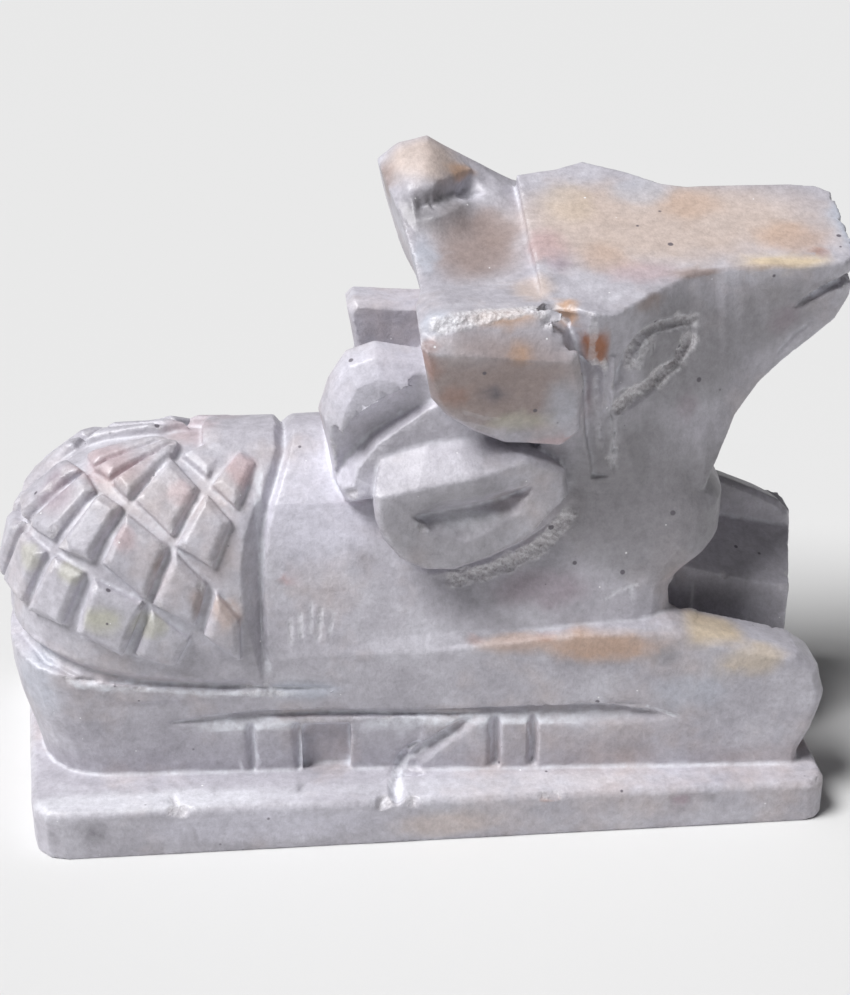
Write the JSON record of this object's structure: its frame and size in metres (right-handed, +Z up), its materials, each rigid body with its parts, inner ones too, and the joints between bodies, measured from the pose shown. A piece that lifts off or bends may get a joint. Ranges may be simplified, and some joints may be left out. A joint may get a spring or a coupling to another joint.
{
  "type": "nandi bull figure",
  "caption": "Small carved stone Nandi: a reclining bull with hump, head turned level and a block-patterned saddle cloth, on a plain slab plinth.",
  "frame": {"origin": "middle of the plinth's flat underside, which the figure stands on", "axes": "+X along the plinth towards the bull's head, -Y the better worked side, +Z up"},
  "size_m": [0.0855, 0.0362, 0.0647],
  "materials": {
    "soapstone": "carved and hand polished, veined pale grey soapstone"
  },
  "bodies": {
    "root": {"nandi_bull": "soapstone"}
  },
  "joints": []
}
